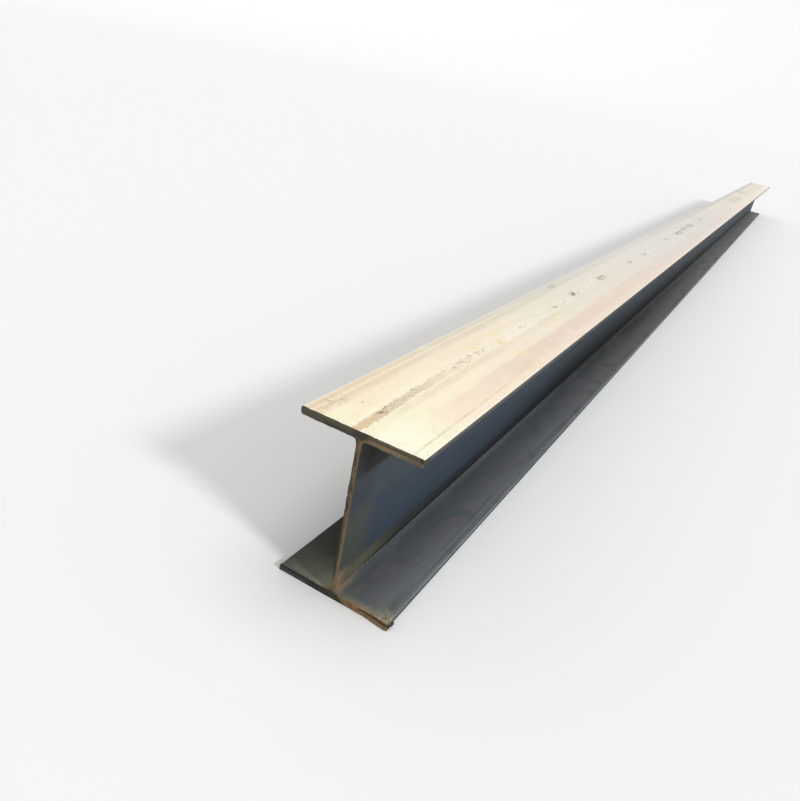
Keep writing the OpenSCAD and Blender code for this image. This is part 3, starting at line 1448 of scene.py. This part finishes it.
@dataclass(frozen=True)
class CutFinish:
    """The rough flame-cut ends, rusted unevenly."""

    grey: Colour = tone("4e4a3e")
    black: Colour = tone("2b2c27")
    heart: Colour = tone("37342e")
    brown: Colour = tone("77684f")
    orange: Colour = tone("806242")
    web_brown: Colour = tone("5c4d39")
    gold: Colour = tone("796a50")

    @staticmethod
    def depth_in(w: Wiring, section: RolledSection) -> Socket:
        """How deep a place lies below the inner skin of the web, fillet and upper flange on the right.

        Args:
            w: The material's wiring.
            section: The section, for where its faces lie.

        Returns:
            The depth in metres.
        """
        centre_x = section.web / 2 + section.root
        centre_z = section.depth - section.flange - section.root
        across = w.math("MAXIMUM", w.math("SUBTRACT", centre_x, w.x), 0.0)
        above = w.math("MAXIMUM", w.math("SUBTRACT", w.z, centre_z), 0.0)
        reach = w.math("SQRT", w.plus(w.times(across, across), w.times(above, above)))
        return w.math("SUBTRACT", reach, section.root)

    def web(self, w: Wiring, blotch: Socket, spots: Socket) -> Socket:
        """The colour of the web's cut.

        Args:
            w: The material's wiring.
            blotch: The broad rust pattern.
            spots: The spotty rust pattern.

        Returns:
            The colour.
        """
        coat = Coat(w, w.mix(w.ease(blotch, 0.45, 0.62, 0.0, 0.8), self.web_brown, "6a563f"))
        dark_spots = w.times(w.ease(spots, 0.47, 0.58), w.band(w.z, 0.25, 0.375, 0.03), 0.85)
        coat.lay("30271b", dark_spots)
        sunny = w.ease(w.x, 0.0, 0.004)
        coat.lay("746349", sunny, 0.55)
        lower_web = w.ease(w.z, 0.24, 0.15)
        coat.lay(self.gold, lower_web, sunny, 0.5)
        left_web = w.times(w.ease(w.x, 0.0015, -0.004), w.ease(w.z, 0.25, 0.12), w.ease(w.z, 0.045, 0.09))
        coat.lay("2a271d", left_web, 0.9)
        outline = w.most(w.ease(w.x, -0.0032, -0.0048), w.times(w.ease(w.x, 0.0052, 0.0062), 0.5))
        coat.lay("2d271c", outline, 0.7)
        foot = w.times(w.ease(w.z, 0.065, 0.04), 0.8)
        coat.lay("6b5a40", foot)
        return coat.colour

    def plate(self, w: Wiring, top: float, right: Socket, blotch: Socket, fine: Socket) -> Socket:
        """The colour of the upper flange's cut.

        Args:
            w: The material's wiring.
            top: The height of the beam's top.
            right: 1 on the right of the web.
            blotch: The broad rust pattern.
            fine: The fine grain of the cut.

        Returns:
            The colour.
        """
        across = w.math("ABSOLUTE", w.x)
        plate_left = w.mix(w.ease(blotch, 0.42, 0.64, 0.0, 0.5), self.grey, "3f3b30")
        rim = w.ease(w.z, top - 5 * MM, top - 12 * MM)
        rusty = w.times(rim, w.ease(w.x, 0.004, 0.03))
        plate_right = Coat(w, w.mix(rusty, "4a4336", self.brown))
        patches = w.times(w.ease(blotch, 0.5, 0.64), w.ease(w.x, 0.03, 0.07), 0.6)
        plate_right.lay(self.orange, patches)
        upper = Coat(w, w.mix(right, plate_left, plate_right.colour))
        heart = w.times(w.ease(across, 0.03, 0.008), w.ease(w.z, top - 22 * MM, top - 14 * MM))
        upper.lay(self.heart, heart, 0.85)
        brim = w.band(w.z, top - 8 * MM, top - 5 * MM, 2 * MM)
        brim = w.times(brim, w.ease(w.x, 0.0, 0.03), w.ease(w.x, 0.085, 0.11, 0.35, 0.6))
        upper.lay("3d3428", brim)
        brink = w.times(
            w.ease(w.z, top - 4.5 * MM, top - 3 * MM),
            w.ease(across, 0.008, 0.03),
            w.ease(w.x, -0.14, -0.115),
        )
        brink = w.times(brink, 0.8)
        upper.lay(w.mix(right, "57523f", "685c46"), brink)
        under = w.times(w.ease(w.z, top - 8 * MM, top - 13 * MM), w.band(w.x, -0.085, -0.02, 0.012), 0.6)
        upper.lay("33312a", under)
        upper.lay("514a3c", w.ease(w.x, 0.085, 0.125), 0.6)
        slant = w.plus(w.x, w.times(w.math("SUBTRACT", top, w.z), -0.2), w.swing(fine, 0.008))
        nick = w.times(w.band(slant, 0.140, 0.1445, 0.0015), w.ease(w.z, top - 13 * MM, top - 8 * MM), 0.8)
        upper.lay("2b2218", nick)
        return upper.colour

    def foot(self, w: Wiring, flange: float, blotch: Socket, spots: Socket) -> Socket:
        """The colour of the lower flange's cut.

        Args:
            w: The material's wiring.
            flange: The height of the flange's upper face.
            blotch: The broad rust pattern.
            spots: The spotty rust pattern.

        Returns:
            The colour.
        """
        across = w.math("ABSOLUTE", w.x)
        foot_left = Coat(w, w.mix(w.ease(blotch, 0.45, 0.65, 0.0, 0.6), self.black, "363833"))
        foot_left.lay("44463e", w.ease(w.z, 12 * MM, 6 * MM), w.ease(w.x, -0.055, -0.085), 0.7)
        foot_left.lay("22241f", w.ease(w.z, 11 * MM, 15 * MM), 0.5)
        foot_right = Coat(w, w.mix(w.ease(blotch, 0.42, 0.6), "7a6444", self.orange))
        ledge_line = w.band(w.z, flange - 6.5 * MM, flange - 3.2 * MM, 1.5 * MM)
        foot_right.lay("4c3c28", w.ease(spots, 0.5, 0.6, 0.0, 0.6))
        foot_right.lay("32291c", ledge_line, w.ease(w.x, 0.065, 0.085), 0.9)
        ledge_rim = w.times(
            w.ease(w.z, flange - 2.2 * MM, flange - 1.2 * MM),
            w.ease(w.x, 0.11, 0.14, 0.25, 0.9),
        )
        foot_right.lay("84745a", ledge_rim)
        foot_heart = w.ease(across, 0.022, 0.006)
        wedge = w.plus(w.x, w.times(w.math("SUBTRACT", w.z, flange), 1.6))
        lower = Coat(w, w.mix(w.ease(wedge, 0.0, 0.016), foot_left.colour, foot_right.colour))
        lower.lay("3a342a", foot_heart, 0.6)
        return lower.colour

    def material(self, section: RolledSection) -> bpy.types.Material:
        """Builds the material.

        Args:
            section: The section, for where its parts lie.

        Returns:
            The material.
        """
        w = Wiring("flame_cut")
        across = w.math("ABSOLUTE", w.x)
        right = w.ease(w.x, -0.006, 0.008)
        top, flange, web = section.depth, section.flange, section.web / 2
        high = w.ease(w.z, top - 26 * MM, top - 16 * MM)
        low = w.ease(w.z, flange + 8 * MM, flange - 1 * MM)
        blotch = w.cloud((48, 30, 70), detail=5, rough=0.65, warp=0.6, shift=2)
        fine = w.cloud((300, 300, 300), detail=4, rough=0.65, shift=5)
        spots = w.cloud((120, 90, 70), detail=4, rough=0.65, shift=12)

        coat = Coat(w, self.web(w, blotch, spots))
        coat.lay(self.plate(w, top, right, blotch, fine), high)
        skin = self.depth_in(w, section)
        bead = w.times(
            w.ease(skin, 0.0055, 0.0035),
            w.ease(w.z, top - 36 * MM, top - 30 * MM),
            w.ease(w.x, 0.07, 0.025),
        )
        coat.lay("6f5a40", bead, 0.85)
        coat.lay(self.foot(w, flange, blotch, spots), low)

        pits = w.ease(w.cells((260, 200, 260), shift=3), 0.35, 0.12)
        coat.lay("2d2419", pits, 0.35)
        coat.lay(w.tint(w.ease(fine, 0.3, 0.7, 0.8, 1.18)), 1.0, blend=Blend.MULTIPLY)
        in_web = w.times(w.ease(across, web + 12 * MM, web), w.less(high), w.less(low))
        flange_drag = w.cloud((330, 40, 90), detail=4, rough=0.65, warp=0.4, shift=1)
        web_drag = w.cloud((90, 40, 330), detail=4, rough=0.65, warp=0.4, shift=4)
        drag = w.plus(w.times(flange_drag, w.less(in_web)), w.times(web_drag, in_web))
        coat.lay("2b251b", w.ease(drag, 0.5, 0.75, 0.0, 0.18))
        rough = w.ease(fine, 0.3, 0.7, 0.62, 0.85)
        heights = [(drag, 0.45 * MM), (w.plus(fine, w.times(pits, -0.8)), 0.4 * MM)]
        return w.finish(coat.colour, rough, heights, specular=0.25)


@dataclass(frozen=True)
class Lamp:
    """A soft distant light.

    Args:
        name: Its name.
        strength: How bright it is.
        towards: The direction from the beam to it.
        spread: Its width as seen from the beam, in degrees.
        colour: Its colour.
    """

    name: str
    strength: float
    towards: tuple[float, float, float]
    spread: float
    colour: Colour


@dataclass
class Studio:
    """The pale floor, the soft lights and the sky's even light.

    Args:
        flat_radius: How far the floor is flat.
        rim_radius: How far it goes.
        rise: How fast it rises beyond its flat part.
        floor_colour: Its colour.
        spokes: How many parts each of its rings has.
        rim_steps: How many rings its rising part has.
        white: The sky's colour.
        sky: How bright the sky is for the beam.
        backdrop: How bright it is for the camera.
        lamps: The lights.
    """

    flat_radius: float = 42.0
    rim_radius: float = 130.0
    rise: float = 0.0042
    floor_colour: Colour = (0.86, 0.86, 0.86)
    spokes: int = 96
    rim_steps: int = 14
    white: tuple[float, float, float, float] = (1.0, 1.0, 1.0, 1.0)
    sky: float = 0.5
    backdrop: float = 0.86
    lamps: tuple[Lamp, ...] = (
        Lamp("overhead", 0.75, (0.12, 0.25, 1.0), 35.0, (1.0, 0.985, 0.96)),
        Lamp("from_right", 1.6, (1.0, -0.25, 0.68), 9.0, (0.96, 0.98, 1.0)),
        Lamp("front_fill", 0.4, (0.1, -1.0, 0.55), 60.0, (1.0, 0.98, 0.95)),
    )

    def floor(self) -> bpy.types.Object:
        """A round floor that is flat round the beam and rises gently far away.

        Returns:
            The floor.
        """
        rings = [0.0, 3.0, 8.0, 16.0, 28.0, self.flat_radius]
        rim, spokes = self.rim_radius - self.flat_radius, self.spokes
        rings += [self.flat_radius + rim * (i + 1) / self.rim_steps for i in range(self.rim_steps)]
        points, faces = [(0.0, 0.0, 0.0)], []
        for radius in rings[1:]:
            height = self.rise * max(0.0, radius - self.flat_radius) ** 2
            for k in range(spokes):
                a = 2 * math.pi * k / spokes
                points.append((radius * math.cos(a), radius * math.sin(a), height))
        for k in range(spokes):
            faces.append((0, 1 + k, 1 + (k + 1) % spokes))
        for i in range(len(rings) - 2):
            a, b = 1 + i * spokes, 1 + (i + 1) * spokes
            faces += [(a + k, b + k, b + (k + 1) % spokes, a + (k + 1) % spokes) for k in range(spokes)]
        mesh = bpy.data.meshes.new("floor")
        mesh.from_pydata(points, [], faces)
        mesh.polygons.foreach_set("use_smooth", np.ones(len(faces), bool))
        material = bpy.data.materials.new("pale_floor")
        material.use_nodes = True
        shader = material.node_tree.nodes["Principled BSDF"]
        shader.inputs["Base Color"].default_value = (*self.floor_colour, 1.0)
        shader.inputs["Roughness"].default_value = 0.9
        shader.inputs["Specular IOR Level"].default_value = 0.1
        mesh.materials.append(material)
        floor = bpy.data.objects.new("floor", mesh)
        bpy.context.scene.collection.objects.link(floor)
        return floor

    @staticmethod
    def hang(lamp: Lamp) -> bpy.types.Object:
        """Puts up one light.

        Args:
            lamp: Which light.

        Returns:
            The light's object.
        """
        data = bpy.data.lights.new(lamp.name, "SUN")
        data.energy = lamp.strength
        data.angle = math.radians(lamp.spread)
        data.color = lamp.colour
        light = bpy.data.objects.new(lamp.name, data)
        light.rotation_euler = Vector(lamp.towards).to_track_quat("Z", "Y").to_euler()
        bpy.context.scene.collection.objects.link(light)
        return light

    def build(self) -> None:
        """Makes the floor, the lights and the sky, and sets how the scene is shown."""
        self.floor()
        for lamp in self.lamps:
            self.hang(lamp)
        world = bpy.data.worlds.new("studio")
        world.use_nodes = True
        tree = world.node_tree
        background = tree.nodes["Background"]
        background.inputs["Color"].default_value = self.white
        background.inputs["Strength"].default_value = self.sky
        backdrop = tree.nodes.new("ShaderNodeBackground")
        backdrop.inputs["Color"].default_value = self.white
        backdrop.inputs["Strength"].default_value = self.backdrop
        ray = tree.nodes.new("ShaderNodeLightPath")
        blend = tree.nodes.new("ShaderNodeMixShader")
        tree.links.new(ray.outputs["Is Camera Ray"], blend.inputs[0])
        tree.links.new(background.outputs[0], blend.inputs[1])
        tree.links.new(backdrop.outputs[0], blend.inputs[2])
        tree.links.new(blend.outputs[0], tree.nodes["World Output"].inputs["Surface"])
        scene = bpy.context.scene
        scene.world = world
        scene.view_settings.view_transform = "Standard"
        scene.view_settings.look = "None"


@dataclass
class Viewpoint:
    """The camera, placed from the beam's near end.

    Args:
        across: How far right of the beam's middle it stands, in metres.
        before: How far before the near end it stands.
        above: How high it stands.
        heading: How far it is turned left of straight along the beam, in degrees.
        pitch: How far it is tilted up.
        roll: How far it leans.
        lens: Its focal length, in millimetres.
        film: The width of its film, in millimetres.
        reach: How far it sees, in metres.
    """

    across: float = 0.586
    before: float = 1.112
    above: float = 1.1165
    heading: float = 24.85
    pitch: float = -25.16
    roll: float = 11.52
    lens: float = 31.56
    film: float = 36.0
    reach: float = 500.0

    def build(self, near: float) -> bpy.types.Object:
        """Makes the camera.

        Args:
            near: Where the near end lies along the length.

        Returns:
            The camera.
        """
        data = bpy.data.cameras.new("camera")
        data.lens = self.lens
        data.sensor_width = self.film
        data.clip_end = self.reach
        camera = bpy.data.objects.new("camera", data)
        turn = Matrix.Rotation(math.radians(self.heading), 4, "Z")
        tilt = Matrix.Rotation(math.radians(90 + self.pitch), 4, "X")
        bank = Matrix.Rotation(math.radians(self.roll), 4, "Z")
        stand = Matrix.Translation((self.across, near - self.before, self.above))
        camera.matrix_world = stand @ turn @ tilt @ bank
        bpy.context.scene.collection.objects.link(camera)
        bpy.context.scene.camera = camera
        return camera


def main() -> None:
    """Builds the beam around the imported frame."""
    logging.basicConfig(level=logging.INFO, format="%(name)s: %(message)s")
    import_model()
    low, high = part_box("h_beam")
    Viewpoint().build(low.y)
    Studio().build()
    section = RolledSection(depth=high.z - low.z, width=high.x - low.x)
    body = BeamBody(section, low.y, high.y)
    body.slots = [
        CrownPaintedGlare().material(low.y),
        ScaleAndPaintedShade().material(low.y, section),
        CutFinish().material(section),
    ]
    beam = body.build("rolled_beam")
    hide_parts("h_beam")
    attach(beam, "root")
    LOG.info("rolled_beam: %d faces", len(beam.data.polygons))


if __name__ == "__main__":
    main()
